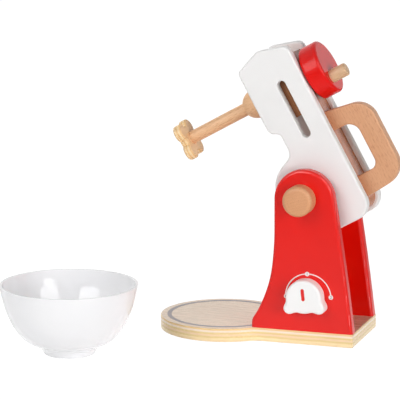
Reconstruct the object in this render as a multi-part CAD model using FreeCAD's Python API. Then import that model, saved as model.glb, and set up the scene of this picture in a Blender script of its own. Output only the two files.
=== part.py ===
import FreeCAD, Part
import math
import os

# Wooden toy stand mixer with a loose bowl. Millimetres, +Z up.
# Origin: on the table, below the centre of the round bowl platform.
# -X is the front (platform and beater), -Y is the side with the dial.
# The head is built closed and level around its pivot, and then tilted open.

os.makedirs("parts", exist_ok=True)

# ---- clearances -----------------------------------------------------------
GLUE_FIT = 0.02          # radial, dowels and screws that are fixed
RUN_FIT = 0.10           # radial, dowels that turn in their hole
FACE_GAP = 0.3           # between a turning face and the face beside it
HEAD_SIDE_GAP = 4.5      # between the head and each side panel
CUT_PAST = 1.0           # how far a cutting body runs past the piece
SAME = 0.001             # places closer together than this count as one

# ---- base board -----------------------------------------------------------
BOARD_THICKNESS = 12.5
PLATFORM_RADIUS = 60.0
BOARD_WIDTH = 86.0
BOARD_REAR_X = 134.5     # rear edge
BOARD_NECK_RADIUS = 20.0
BOARD_CORNER_RADIUS = 2.0
BOARD_EDGE_ROUND = 1.0

# ---- side panels ----------------------------------------------------------
PANEL_THICKNESS = 12.0
PANEL_EDGE_ROUND = 3.0
PANEL_TOE_X = 39.0       # front foot
PANEL_HEEL_X = 134.2     # rear foot
PANEL_TOP_X = 87.65      # centre of the rounded top
PANEL_TOP_HEIGHT = 120.1  # same, above the board
PANEL_TOP_RADIUS = 27.85
PANEL_REAR_RADIUS = 2400.0  # the rear edge is bowed out very slightly
# front edge between foot and top: how far up it is, how far back it is
PANEL_FRONT_CURVE = [(0.07, 0.15), (0.14, 0.365), (0.235, 0.588),
                     (0.385, 0.833), (0.59, 0.97)]
PANEL_TOE_RISE = 4.0     # short upright stretch at the foot

# ---- pivot ----------------------------------------------------------------
PIVOT_SETBACK = 2.25     # in front of the centre of the panels' rounded top
PIVOT_RISE = 1.0         # above it
HEAD_OPEN_ANGLE = 61.0
AXLE_RADIUS = 6.0
KNOB_RADIUS = 13.8
KNOB_LENGTH = 15.0
KNOB_EDGE_ROUND = 4.0
KNOB_SOCKET = 10.0       # depth of the axle in each knob
SPACER_RADIUS = 14.0

# ---- tilt stop ------------------------------------------------------------
STOP_DOWEL_RADIUS = 5.0
STOP_DISTANCE = 20.0     # below the pivot
STOP_CLEARANCE = 0.4     # around the dowel in its curved slot
STOP_SOCKET = 7.0        # depth in each side panel

# ---- head, measured forward of and above the pivot, head closed -----------
PLATE_THICKNESS = 10.0
PLATE_EDGE_ROUND = 2.0
HEAD_TOP = 49.0
HEAD_TOP_FRONT = 127.9
HEAD_TOP_FRONT_RADIUS = 7.0
HEAD_NOSE = 136.3        # foremost corner and its height
HEAD_NOSE_HEIGHT = 21.2
HEAD_NOSE_RADIUS = 9.0
HEAD_CHIN = -4.6         # underside of the front part
HEAD_CHIN_FRONT = 127.0
HEAD_CHIN_FRONT_RADIUS = 5.0
HEAD_CHIN_REAR = 64.8
HEAD_CHIN_REAR_RADIUS = 8.0
HEAD_RECESS = 4.7        # underside of the recess behind it
HEAD_RECESS_FRONT = 60.3
HEAD_RECESS_FRONT_RADIUS = 5.0
HEAD_RECESS_REAR = 38.6
HEAD_RECESS_REAR_RADIUS = 10.0
HEAD_LOBE_BOTTOM = -26.2  # underside of the lobe round the pivot
HEAD_LOBE_FRONT = 25.8
HEAD_LOBE_FRONT_RADIUS = 30.0
HEAD_REAR = -39.8
HEAD_LOBE_REAR_RADIUS = 32.0
HEAD_TOP_REAR_RADIUS = 15.0
PLATE_SLOT_WIDTH = 8.3
PLATE_SLOT_FRONT = (98.7, 27.4)   # centres of its round ends
PLATE_SLOT_REAR = (50.8, 27.4)
PLATE_SLOT_ROUND = 1.0
CORE_INSET = 3.4         # core edges lie inside the plate edges
CORE_FRONT = 121.0       # the core stops short of the nose
RAIL_BOTTOM = 34.0
FRONT_BLOCK_REAR = 67.0
REAR_BLOCK_FRONT = 36.0

# ---- cross dowels between the plates --------------------------------------
HEAD_DOWEL_RADIUS = 4.0
HEAD_DOWEL_SOCKET = 6.0
HEAD_DOWEL_PLACES = [(112.0, 8.0), (76.0, 8.0), (24.0, 28.0), (-27.0, 24.0)]

# ---- handle ---------------------------------------------------------------
HANDLE_THICKNESS = 12.0
HANDLE_EDGE_ROUND = 1.6
HANDLE_TOP = 86.2
HANDLE_GRIP = 19.5       # thickness of the grip bar
HANDLE_FRONT = 59.9
HANDLE_FRONT_LEG = 19.2
HANDLE_REAR = -26.2
HANDLE_REAR_LEG = 20.7
HANDLE_FRONT_LEAN = 7.0  # how far each outer side leans in at the top
HANDLE_REAR_LEAN = 3.6
HANDLE_FRONT_RADIUS = 19.0  # outer corners
HANDLE_REAR_RADIUS = 21.0
HANDLE_INNER_FRONT_RADIUS = 11.0
HANDLE_INNER_REAR_RADIUS = 7.5
HANDLE_DOWEL_RADIUS = 3.0
HANDLE_DOWEL_UP = 12.0
HANDLE_DOWEL_DOWN = 9.0

# ---- crank, shaft and beater ----------------------------------------------
SHAFT_FORWARD = 95.0     # shaft axis forward of the pivot
SHAFT_RADIUS = 6.0
DISC_RADIUS = 25.4
DISC_THICKNESS = 18.0
DISC_EDGE_ROUND = 3.0
DISC_LIFT = 1.0          # gap above the plates
SHAFT_SOCKET = 11.0      # depth of the shaft in the disc
CRANK_PIN_RADIUS = 6.0
CRANK_PIN_OFFSET = 14.0
CRANK_PIN_ANGLE = 225.0  # about the shaft, from straight ahead
CRANK_PIN_LENGTH = 16.1  # above the disc
CRANK_PIN_SOCKET = 9.0
CRANK_PIN_ROUND = 1.5
COLLAR_RADIUS = 13.4
COLLAR_STRAIGHT = 4.8
COLLAR_TOP_GAP = 0.5
WHISK_SHAFT_RADIUS = 6.0
WHISK_JOINT_DEPTH = 7.0  # seat of the beater dowel above the collar's tip
WHISK_BOTTOM = -89.7
WHISK_THICKNESS = 8.0
WHISK_HUB_RADIUS = 13.0
WHISK_LOBE_RADIUS = 8.0
WHISK_LOBE_OFFSET = 13.2
WHISK_LOBES = 4
WHISK_LOBE_ANGLE = 38.3
WHISK_EDGE_ROUND = 2.0

# ---- dial -----------------------------------------------------------------
DIAL_X = 91.3
DIAL_HEIGHT = 31.6       # above the board
DIAL_THICKNESS = 12.0
DIAL_EDGE_ROUND = 2.8
DIAL_REST_ANGLE = 3.0    # pointer leans to the front
DIAL_PIN_RADIUS = 4.0
DIAL_PIN_SOCKET = 7.0
RETAINER_RADIUS = 9.0
RETAINER_THICKNESS = 4.0
# right half of the dial's outline, from the top to the bottom centre
DIAL_OUTLINE = [(0.0, 17.8), (6.4, 16.6), (11.8, 12.8), (15.5, 7.3), (16.6, 1.4),
                (16.8, -2.0), (18.0, -4.6), (19.1, -7.8), (18.0, -11.4),
                (14.6, -13.3), (11.1, -12.8), (7.8, -11.9), (3.9, -12.5),
                (0.0, -12.9)]

# ---- base screws ----------------------------------------------------------
SCREW_RADIUS = 1.75
SCREW_HEAD_RADIUS = 3.5
SCREW_LENGTH = 32.0
SCREW_SINK = 0.5
SCREW_CROSS_WIDTH = 0.8
SCREW_CROSS_DEPTH = 1.0
SCREW_PLACES_X = (58.0, 116.0)

# ---- bowl -----------------------------------------------------------------
BOWL_X = -101.9
BOWL_Y = -135.8
BOWL_RIM_RADIUS = 61.8
BOWL_HEIGHT = 62.5
BOWL_WALL = 2.6
BOWL_FOOT_RADIUS = 26.4  # where it meets the bowl
BOWL_FOOT_TAPER = 4.0    # how much narrower it is on the table
BOWL_FOOT_HEIGHT = 7.2
BOWL_FOOT_WALL = 3.0
BOWL_FOOT_RECESS = 4.0
# outer wall between foot and rim: share of the way up, share of the way out
BOWL_CURVE = [(0.035, 0.126), (0.10, 0.338), (0.20, 0.504), (0.37, 0.69),
              (0.62, 0.855), (0.82, 0.938)]

# ---- worked out -----------------------------------------------------------
PIVOT_X = PANEL_TOP_X - PIVOT_SETBACK
PIVOT_Z = BOARD_THICKNESS + PANEL_TOP_HEIGHT + PIVOT_RISE
PANEL_OUTER_Y = BOARD_WIDTH / 2
PANEL_INNER_Y = PANEL_OUTER_Y - PANEL_THICKNESS
HEAD_HALF = PANEL_INNER_Y - HEAD_SIDE_GAP
CORE_HALF = HEAD_HALF - PLATE_THICKNESS
RAIL_TOP = HEAD_TOP - CORE_INSET
DISC_BOTTOM = HEAD_TOP + DISC_LIFT
DISC_TOP = DISC_BOTTOM + DISC_THICKNESS
COLLAR_TOP = HEAD_CHIN - COLLAR_TOP_GAP
DOME_CENTRE = COLLAR_TOP - COLLAR_STRAIGHT
COLLAR_TIP = DOME_CENTRE - math.sqrt(COLLAR_RADIUS ** 2 - WHISK_SHAFT_RADIUS ** 2)
WHISK_JOINT = COLLAR_TIP + WHISK_JOINT_DEPTH
WHISK_TOP = WHISK_BOTTOM + WHISK_THICKNESS
DIAL_Z = BOARD_THICKNESS + DIAL_HEIGHT
DIAL_BACK_Y = -PANEL_OUTER_Y - FACE_GAP
DIAL_FRONT_Y = DIAL_BACK_Y - DIAL_THICKNESS

Y_AXIS = FreeCAD.Vector(0, 1, 0)
Z_AXIS = FreeCAD.Vector(0, 0, 1)
ORIGIN = FreeCAD.Vector(0, 0, 0)


def save(node, shape):
    """Write one piece to its own file."""
    shape.exportStep("parts/" + node + ".step")


def group(shapes):
    """Separate solids that share one node."""
    return Part.makeCompound(shapes)


def rounded_face(corners):
    """Face in the XZ plane from corners (x, z, corner radius)."""
    points = [FreeCAD.Vector(x, 0, z) for x, z, _ in corners]
    count = len(points)
    edges = []
    starts = []
    ends = []
    arcs = []
    for i, (_, _, radius) in enumerate(corners):
        here = points[i]
        back = (points[i - 1] - here).normalize()
        ahead = (points[(i + 1) % count] - here).normalize()
        half = back.getAngle(ahead) / 2
        if radius == 0:
            starts.append(here)
            ends.append(here)
            arcs.append(None)
            continue
        reach = radius / math.tan(half)
        centre = here + (back + ahead).normalize() * (radius / math.sin(half))
        start = here + back * reach
        end = here + ahead * reach
        middle = centre + (here - centre).normalize() * radius
        starts.append(start)
        ends.append(end)
        arcs.append(Part.Arc(start, middle, end).toShape())
    for i in range(count):
        if arcs[i] is not None:
            edges.append(arcs[i])
        follow = starts[(i + 1) % count]
        if ends[i].distanceToPoint(follow) > SAME:
            edges.append(Part.LineSegment(ends[i], follow).toShape())
    return Part.Face(Part.Wire(Part.__sortEdges__(edges)))


def prism_y(face, low, high):
    """Push a face in the XZ plane from y = low to y = high."""
    placed = face.copy()
    placed.translate(FreeCAD.Vector(0, low, 0))
    return placed.extrude(FreeCAD.Vector(0, high - low, 0))


def rod_y(x, z, radius, low, high):
    """Cylinder along Y."""
    return Part.makeCylinder(radius, high - low, FreeCAD.Vector(x, low, z), Y_AXIS)


def rod_z(x, y, radius, low, high):
    """Cylinder along Z."""
    return Part.makeCylinder(radius, high - low, FreeCAD.Vector(x, y, low), Z_AXIS)


def round_face_edges(solid, levels, radius, keep=None):
    """Round every edge that lies wholly in one of the planes y = level."""
    chosen = []
    for edge in solid.Edges:
        box = edge.BoundBox
        for level in levels:
            flat = abs(box.YMin - level) < SAME and abs(box.YMax - level) < SAME
            if flat and (keep is None or keep(edge)):
                chosen.append(edge)
    return solid.makeFillet(radius, chosen)


def round_level_edges(solid, levels, radius):
    """Round every edge that lies wholly in one of the planes z = level."""
    chosen = []
    for edge in solid.Edges:
        box = edge.BoundBox
        for level in levels:
            if abs(box.ZMin - level) < SAME and abs(box.ZMax - level) < SAME:
                chosen.append(edge)
    return solid.makeFillet(radius, chosen)


def opened(shape):
    """Tilt a head piece from closed to open and carry it to the pivot."""
    placed = shape.copy()
    placed.rotate(ORIGIN, Y_AXIS, HEAD_OPEN_ANGLE)
    placed.translate(FreeCAD.Vector(PIVOT_X, 0, PIVOT_Z))
    return placed


# ---- base -----------------------------------------------------------------

def screw_places():
    middle = PANEL_OUTER_Y - PANEL_THICKNESS / 2
    return [(x, side * middle) for x in SCREW_PLACES_X for side in (-1, 1)]


def screw_body(x, y, spare):
    """Countersunk screw shape; spare widens it into its own hole."""
    shank = rod_z(x, y, SCREW_RADIUS + spare, SCREW_SINK, SCREW_SINK + SCREW_LENGTH)
    drop = SCREW_HEAD_RADIUS - SCREW_RADIUS
    low = FreeCAD.Vector(x, y, SCREW_SINK)
    head = Part.makeCone(SCREW_HEAD_RADIUS + spare, SCREW_RADIUS + spare, drop, low)
    return shank.fuse(head)


def screw_hole(x, y):
    mouth = rod_z(x, y, SCREW_HEAD_RADIUS + GLUE_FIT, -CUT_PAST, SCREW_SINK)
    return screw_body(x, y, GLUE_FIT).fuse(mouth)


def make_screws():
    screws = []
    for x, y in screw_places():
        screw = screw_body(x, y, 0.0)
        for turn in (0, 90):
            bar = Part.makeBox(SCREW_HEAD_RADIUS, SCREW_CROSS_WIDTH, SCREW_CROSS_DEPTH)
            bar.translate(FreeCAD.Vector(-SCREW_HEAD_RADIUS / 2, -SCREW_CROSS_WIDTH / 2, 0))
            bar.rotate(ORIGIN, Z_AXIS, turn)
            bar.translate(FreeCAD.Vector(x, y, SCREW_SINK))
            screw = screw.cut(bar)
        screws.append(screw.removeSplitter())
    return group(screws)


def make_base_board():
    half = BOARD_WIDTH / 2
    reach = PLATFORM_RADIUS + BOARD_NECK_RADIUS
    drop = half + BOARD_NECK_RADIUS
    neck_x = math.sqrt(reach ** 2 - drop ** 2)
    on_circle = PLATFORM_RADIUS / reach
    tangent = (neck_x * on_circle, drop * on_circle)
    lean = math.atan2(drop, neck_x)
    bisect = (lean + math.pi / 2) / 2
    mid = (neck_x - BOARD_NECK_RADIUS * math.cos(bisect),
           drop - BOARD_NECK_RADIUS * math.sin(bisect))
    corner = BOARD_CORNER_RADIUS
    diagonal = corner * (1 - math.sqrt(0.5))

    def at(x, y):
        return FreeCAD.Vector(x, y, 0)

    edges = [Part.Arc(at(tangent[0], -tangent[1]), at(-PLATFORM_RADIUS, 0),
                      at(tangent[0], tangent[1])).toShape()]
    for side in (-1, 1):
        edges.append(Part.Arc(at(tangent[0], side * tangent[1]), at(mid[0], side * mid[1]),
                              at(neck_x, side * half)).toShape())
        edges.append(Part.LineSegment(at(neck_x, side * half),
                                      at(BOARD_REAR_X - corner, side * half)).toShape())
        edges.append(Part.Arc(at(BOARD_REAR_X - corner, side * half),
                              at(BOARD_REAR_X - diagonal, side * (half - diagonal)),
                              at(BOARD_REAR_X, side * (half - corner))).toShape())
    edges.append(Part.LineSegment(at(BOARD_REAR_X, corner - half),
                                  at(BOARD_REAR_X, half - corner)).toShape())
    outline = Part.Wire(Part.__sortEdges__(edges))
    board = Part.Face(outline).extrude(FreeCAD.Vector(0, 0, BOARD_THICKNESS))
    board = round_level_edges(board, (0.0, BOARD_THICKNESS), BOARD_EDGE_ROUND)
    for x, y in screw_places():
        board = board.cut(screw_hole(x, y))
    return board


def panel_rear_edge(centre, heel):
    """Bowed rear edge that leaves the rounded top smoothly and ends at the heel."""
    to_heel = heel - centre
    spare = PANEL_REAR_RADIUS - PANEL_TOP_RADIUS
    reach = (PANEL_REAR_RADIUS ** 2 - spare ** 2 - to_heel.Length ** 2) / (2 * spare)
    lean = math.acos(reach / to_heel.Length) - math.atan2(PANEL_TOP_HEIGHT, to_heel.x)
    outward = FreeCAD.Vector(math.cos(lean), 0, math.sin(lean))
    start = centre + outward * PANEL_TOP_RADIUS
    bow_centre = centre - outward * spare
    toward_middle = ((start + heel) * 0.5 - bow_centre).normalize()
    middle = bow_centre + toward_middle * PANEL_REAR_RADIUS
    return start, Part.Arc(start, middle, heel).toShape()


def panel_face():
    """Outline of a side panel: swept foot, round top, rear edge bowed a little."""
    floor = BOARD_THICKNESS
    centre = FreeCAD.Vector(PANEL_TOP_X, 0, floor + PANEL_TOP_HEIGHT)
    front_x = PANEL_TOP_X - PANEL_TOP_RADIUS
    front = FreeCAD.Vector(front_x, 0, centre.z)
    top = centre + FreeCAD.Vector(0, 0, PANEL_TOP_RADIUS)
    toe = FreeCAD.Vector(PANEL_TOE_X, 0, floor)
    ankle = FreeCAD.Vector(PANEL_TOE_X, 0, floor + PANEL_TOE_RISE)
    heel = FreeCAD.Vector(PANEL_HEEL_X, 0, floor)
    rear, rear_edge = panel_rear_edge(centre, heel)
    rise = PANEL_TOP_HEIGHT - PANEL_TOE_RISE
    points = [ankle]
    for up, back in PANEL_FRONT_CURVE:
        points.append(FreeCAD.Vector(PANEL_TOE_X + back * (front_x - PANEL_TOE_X), 0,
                                     ankle.z + up * rise))
    points.append(front)
    sweep = Part.BSplineCurve()
    sweep.interpolate(Points=points, InitialTangent=Z_AXIS, FinalTangent=Z_AXIS)
    edges = [Part.LineSegment(toe, ankle).toShape(), sweep.toShape(),
             Part.Arc(front, top, rear).toShape(), rear_edge,
             Part.LineSegment(heel, toe).toShape()]
    return Part.Face(Part.Wire(Part.__sortEdges__(edges)))


def make_panel(side):
    """Side panel; side is -1 for the dial side and 1 for the plain side."""
    low = min(side * PANEL_INNER_Y, side * PANEL_OUTER_Y)
    high = low + PANEL_THICKNESS
    panel = prism_y(panel_face(), low, high)

    def above_floor(edge):
        return edge.BoundBox.ZMax > BOARD_THICKNESS + SAME

    panel = round_face_edges(panel, (low, high), PANEL_EDGE_ROUND, above_floor)
    panel = panel.cut(rod_y(PIVOT_X, PIVOT_Z, AXLE_RADIUS + RUN_FIT,
                            low - CUT_PAST, high + CUT_PAST))
    inner = side * PANEL_INNER_Y
    sunk = inner + side * STOP_SOCKET
    panel = panel.cut(rod_y(PIVOT_X, PIVOT_Z - STOP_DISTANCE, STOP_DOWEL_RADIUS + GLUE_FIT,
                            min(inner, sunk), max(inner, sunk)))
    for x, y in screw_places():
        if y * side > 0:
            panel = panel.cut(screw_hole(x, y))
    return panel


def make_dial_side_panel():
    hole = rod_y(DIAL_X, DIAL_Z, DIAL_PIN_RADIUS + RUN_FIT,
                 -PANEL_OUTER_Y - CUT_PAST, -PANEL_INNER_Y + CUT_PAST)
    return make_panel(-1).cut(hole)


def make_stop_dowel():
    reach = PANEL_INNER_Y + STOP_SOCKET
    return rod_y(PIVOT_X, PIVOT_Z - STOP_DISTANCE, STOP_DOWEL_RADIUS, -reach, reach)


# ---- head -----------------------------------------------------------------

def head_corners():
    """Cheek outline as (forward, up, corner radius) about the pivot."""
    return [(HEAD_TOP_FRONT, HEAD_TOP, HEAD_TOP_FRONT_RADIUS),
            (HEAD_NOSE, HEAD_NOSE_HEIGHT, HEAD_NOSE_RADIUS),
            (HEAD_CHIN_FRONT, HEAD_CHIN, HEAD_CHIN_FRONT_RADIUS),
            (HEAD_CHIN_REAR, HEAD_CHIN, HEAD_CHIN_REAR_RADIUS),
            (HEAD_RECESS_FRONT, HEAD_RECESS, HEAD_RECESS_FRONT_RADIUS),
            (HEAD_RECESS_REAR, HEAD_RECESS, HEAD_RECESS_REAR_RADIUS),
            (HEAD_LOBE_FRONT, HEAD_LOBE_BOTTOM, HEAD_LOBE_FRONT_RADIUS),
            (HEAD_REAR, HEAD_LOBE_BOTTOM, HEAD_LOBE_REAR_RADIUS),
            (HEAD_REAR, HEAD_TOP, HEAD_TOP_REAR_RADIUS)]


def head_face():
    return rounded_face([(-u, v, r) for u, v, r in head_corners()])


def stop_slot(low, high):
    """Curved slot that the stop dowel runs in while the head tilts."""
    width = STOP_DOWEL_RADIUS + STOP_CLEARANCE
    outer = Part.makeCylinder(STOP_DISTANCE + width, high - low,
                              FreeCAD.Vector(0, low, 0), Y_AXIS)
    inner = Part.makeCylinder(STOP_DISTANCE - width, high - low,
                              FreeCAD.Vector(0, low, 0), Y_AXIS)
    far = 2 * (STOP_DISTANCE + width)
    angle = math.radians(HEAD_OPEN_ANGLE)
    closed_end = FreeCAD.Vector(0, 0, -far)
    open_end = FreeCAD.Vector(far * math.sin(angle), 0, -far * math.cos(angle))
    middle = FreeCAD.Vector(far * math.sin(angle / 2), 0, -far * math.cos(angle / 2)) * 2
    wedge = Part.Face(Part.makePolygon([ORIGIN, closed_end, middle, open_end, ORIGIN]))
    slot = outer.cut(inner).common(prism_y(wedge, low, high))
    for turn in (0.0, angle):
        end = rod_y(STOP_DISTANCE * math.sin(turn), -STOP_DISTANCE * math.cos(turn),
                    width, low, high)
        slot = slot.fuse(end)
    return slot


def slot_face():
    """Straight slot with round ends, seen from the side."""
    front = FreeCAD.Vector(-PLATE_SLOT_FRONT[0], 0, PLATE_SLOT_FRONT[1])
    rear = FreeCAD.Vector(-PLATE_SLOT_REAR[0], 0, PLATE_SLOT_REAR[1])
    along = (rear - front).normalize()
    across = FreeCAD.Vector(-along.z, 0, along.x) * (PLATE_SLOT_WIDTH / 2)
    tip = along * (PLATE_SLOT_WIDTH / 2)
    edges = [Part.LineSegment(front + across, rear + across).toShape(),
             Part.Arc(rear + across, rear + tip, rear - across).toShape(),
             Part.LineSegment(rear - across, front - across).toShape(),
             Part.Arc(front - across, front - tip, front + across).toShape()]
    return Part.Face(Part.Wire(Part.__sortEdges__(edges)))


def dowel_holes(low, high):
    holes = [rod_y(-u, v, HEAD_DOWEL_RADIUS + GLUE_FIT, low, high)
             for u, v in HEAD_DOWEL_PLACES]
    return group(holes)


def make_head_plate(side):
    """Head cheek; side is -1 for the dial side and 1 for the plain side."""
    low = min(side * CORE_HALF, side * HEAD_HALF)
    high = low + PLATE_THICKNESS
    plate = prism_y(head_face(), low, high)
    plate = round_face_edges(plate, (low, high), PLATE_EDGE_ROUND)
    before = low - CUT_PAST
    beyond = high + CUT_PAST
    slot = prism_y(slot_face(), before, beyond)
    plate = plate.cut(slot)

    def in_slot(edge):
        return slot.BoundBox.isInside(edge.BoundBox.Center)

    plate = round_face_edges(plate, (low, high), PLATE_SLOT_ROUND, in_slot)
    plate = plate.cut(rod_y(0, 0, AXLE_RADIUS + GLUE_FIT, before, beyond))
    plate = plate.cut(stop_slot(before, beyond))
    sunk = side * (CORE_HALF + HEAD_DOWEL_SOCKET)
    inner = side * CORE_HALF
    plate = plate.cut(dowel_holes(min(inner, sunk), max(inner, sunk)))
    return opened(plate)


def core_body():
    """Whole core between the plates, before it is split in three pieces."""
    inset = head_face().makeOffset2D(-CORE_INSET)
    return prism_y(inset, -CORE_HALF, CORE_HALF)


def core_piece(rear, front, bottom, top):
    """The part of the core between two uprights and two heights."""
    half = CORE_HALF + CUT_PAST
    room = Part.makeBox(front - rear, 2 * half, top - bottom,
                        FreeCAD.Vector(-front, -half, bottom))
    piece = core_body().common(room)
    piece = piece.cut(rod_z(-SHAFT_FORWARD, 0, SHAFT_RADIUS + RUN_FIT, HEAD_CHIN, HEAD_TOP))
    return piece.cut(dowel_holes(-half, half))


def make_top_rail():
    rail = core_piece(HEAD_REAR, CORE_FRONT, RAIL_BOTTOM, HEAD_TOP)
    for u in handle_dowel_places():
        rail = rail.cut(rod_z(-u, 0, HANDLE_DOWEL_RADIUS + GLUE_FIT,
                              RAIL_TOP - HANDLE_DOWEL_DOWN, HEAD_TOP))
    return opened(rail)


def make_front_block():
    return opened(core_piece(FRONT_BLOCK_REAR, CORE_FRONT, HEAD_CHIN, RAIL_BOTTOM))


def make_rear_block():
    block = core_piece(HEAD_REAR, REAR_BLOCK_FRONT, HEAD_LOBE_BOTTOM, RAIL_BOTTOM)
    half = CORE_HALF + CUT_PAST
    block = block.cut(rod_y(0, 0, AXLE_RADIUS + GLUE_FIT, -half, half))
    return opened(block.cut(stop_slot(-half, half)))


def make_head_dowels():
    reach = CORE_HALF + HEAD_DOWEL_SOCKET
    return opened(group([rod_y(-u, v, HEAD_DOWEL_RADIUS, -reach, reach)
                         for u, v in HEAD_DOWEL_PLACES]))


def make_pivot_axle():
    reach = PANEL_OUTER_Y + FACE_GAP + KNOB_SOCKET
    return rod_y(PIVOT_X, PIVOT_Z, AXLE_RADIUS, -reach, reach)


def make_pivot_knob(side):
    """Turned knob on the axle's end, outside a side panel."""
    inner = side * (PANEL_OUTER_Y + FACE_GAP)
    outer = inner + side * KNOB_LENGTH
    knob = rod_y(PIVOT_X, PIVOT_Z, KNOB_RADIUS, min(inner, outer), max(inner, outer))
    knob = round_face_edges(knob, (outer,), KNOB_EDGE_ROUND)
    sunk = inner + side * KNOB_SOCKET
    return knob.cut(rod_y(PIVOT_X, PIVOT_Z, AXLE_RADIUS + GLUE_FIT,
                          min(inner, sunk), max(inner, sunk)))


def make_pivot_spacers():
    rings = []
    for side in (-1, 1):
        low = min(side * HEAD_HALF, side * (PANEL_INNER_Y - FACE_GAP))
        high = max(side * HEAD_HALF, side * (PANEL_INNER_Y - FACE_GAP))
        ring = rod_y(PIVOT_X, PIVOT_Z, SPACER_RADIUS, low, high)
        rings.append(ring.cut(rod_y(PIVOT_X, PIVOT_Z, AXLE_RADIUS + GLUE_FIT,
                                    low - CUT_PAST, high + CUT_PAST)))
    return group(rings)


def handle_dowel_places():
    return (HANDLE_FRONT - HANDLE_FRONT_LEG / 2, HANDLE_REAR + HANDLE_REAR_LEG / 2)


def make_handle():
    low = RAIL_TOP
    outer = [(HANDLE_FRONT, low, 0), (HANDLE_FRONT - HANDLE_FRONT_LEAN, HANDLE_TOP,
                                      HANDLE_FRONT_RADIUS),
             (HANDLE_REAR + HANDLE_REAR_LEAN, HANDLE_TOP, HANDLE_REAR_RADIUS),
             (HANDLE_REAR, low, 0)]
    hollow_top = HANDLE_TOP - HANDLE_GRIP
    hollow_front = HANDLE_FRONT - HANDLE_FRONT_LEG
    hollow_rear = HANDLE_REAR + HANDLE_REAR_LEG
    hollow = [(hollow_front, low, 0), (hollow_front, hollow_top, HANDLE_INNER_FRONT_RADIUS),
              (hollow_rear, hollow_top, HANDLE_INNER_REAR_RADIUS), (hollow_rear, low, 0)]
    corners = outer + hollow[::-1]
    face = rounded_face([(-u, v, r) for u, v, r in corners])
    half = HANDLE_THICKNESS / 2
    handle = prism_y(face, -half, half)

    def above_foot(edge):
        return edge.BoundBox.ZMax > low + SAME

    handle = round_face_edges(handle, (-half, half), HANDLE_EDGE_ROUND, above_foot)
    for u in handle_dowel_places():
        handle = handle.cut(rod_z(-u, 0, HANDLE_DOWEL_RADIUS + GLUE_FIT,
                                  low - CUT_PAST, low + HANDLE_DOWEL_UP))
    return opened(handle)


def make_handle_dowels():
    return opened(group([rod_z(-u, 0, HANDLE_DOWEL_RADIUS, RAIL_TOP - HANDLE_DOWEL_DOWN,
                               RAIL_TOP + HANDLE_DOWEL_UP)
                         for u in handle_dowel_places()]))


# ---- crank, shaft and beater ----------------------------------------------

def crank_pin_place():
    angle = math.radians(CRANK_PIN_ANGLE)
    return (-SHAFT_FORWARD - CRANK_PIN_OFFSET * math.cos(angle),
            CRANK_PIN_OFFSET * math.sin(angle))


def make_crank_disc():
    disc = rod_z(-SHAFT_FORWARD, 0, DISC_RADIUS, DISC_BOTTOM, DISC_TOP)
    disc = round_level_edges(disc, (DISC_BOTTOM, DISC_TOP), DISC_EDGE_ROUND)
    disc = disc.cut(rod_z(-SHAFT_FORWARD, 0, SHAFT_RADIUS + GLUE_FIT,
                          DISC_BOTTOM - CUT_PAST, DISC_BOTTOM + SHAFT_SOCKET))
    x, y = crank_pin_place()
    return opened(disc.cut(rod_z(x, y, CRANK_PIN_RADIUS + GLUE_FIT,
                                 DISC_TOP - CRANK_PIN_SOCKET, DISC_TOP + CUT_PAST)))


def make_crank_pin():
    x, y = crank_pin_place()
    top = DISC_TOP + CRANK_PIN_LENGTH
    pin = rod_z(x, y, CRANK_PIN_RADIUS, DISC_TOP - CRANK_PIN_SOCKET, top)
    return opened(round_level_edges(pin, (top,), CRANK_PIN_ROUND))


def make_drive_shaft():
    return opened(rod_z(-SHAFT_FORWARD, 0, SHAFT_RADIUS, WHISK_JOINT,
                        DISC_BOTTOM + SHAFT_SOCKET))


def make_shaft_collar():
    """Turned collar: a short straight part that ends in a dome."""
    dome = Part.makeSphere(COLLAR_RADIUS, FreeCAD.Vector(-SHAFT_FORWARD, 0, DOME_CENTRE))
    below = rod_z(-SHAFT_FORWARD, 0, 2 * COLLAR_RADIUS, COLLAR_TIP, DOME_CENTRE)
    straight = rod_z(-SHAFT_FORWARD, 0, COLLAR_RADIUS, DOME_CENTRE, COLLAR_TOP)
    collar = dome.common(below).fuse(straight).removeSplitter()
    bore = rod_z(-SHAFT_FORWARD, 0, SHAFT_RADIUS + GLUE_FIT,
                 WHISK_JOINT, COLLAR_TOP + CUT_PAST)
    seat = rod_z(-SHAFT_FORWARD, 0, WHISK_SHAFT_RADIUS + GLUE_FIT,
                 COLLAR_TIP - CUT_PAST, WHISK_JOINT)
    return opened(collar.cut(bore).cut(seat))


def make_whisk_shaft():
    return opened(rod_z(-SHAFT_FORWARD, 0, WHISK_SHAFT_RADIUS, WHISK_BOTTOM, WHISK_JOINT))


def make_whisk_head():
    """Flat beater with round lobes about a hub."""
    head = rod_z(-SHAFT_FORWARD, 0, WHISK_HUB_RADIUS, WHISK_BOTTOM, WHISK_TOP)
    for i in range(WHISK_LOBES):
        angle = math.radians(WHISK_LOBE_ANGLE + 360.0 * i / WHISK_LOBES)
        head = head.fuse(rod_z(-SHAFT_FORWARD - WHISK_LOBE_OFFSET * math.cos(angle),
                               WHISK_LOBE_OFFSET * math.sin(angle),
                               WHISK_LOBE_RADIUS, WHISK_BOTTOM, WHISK_TOP))
    head = head.removeSplitter()
    head = round_level_edges(head, (WHISK_BOTTOM, WHISK_TOP), WHISK_EDGE_ROUND)
    return opened(head.cut(rod_z(-SHAFT_FORWARD, 0, WHISK_SHAFT_RADIUS + GLUE_FIT,
                                 WHISK_BOTTOM - CUT_PAST, WHISK_TOP + CUT_PAST)))


# ---- dial -----------------------------------------------------------------

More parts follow.
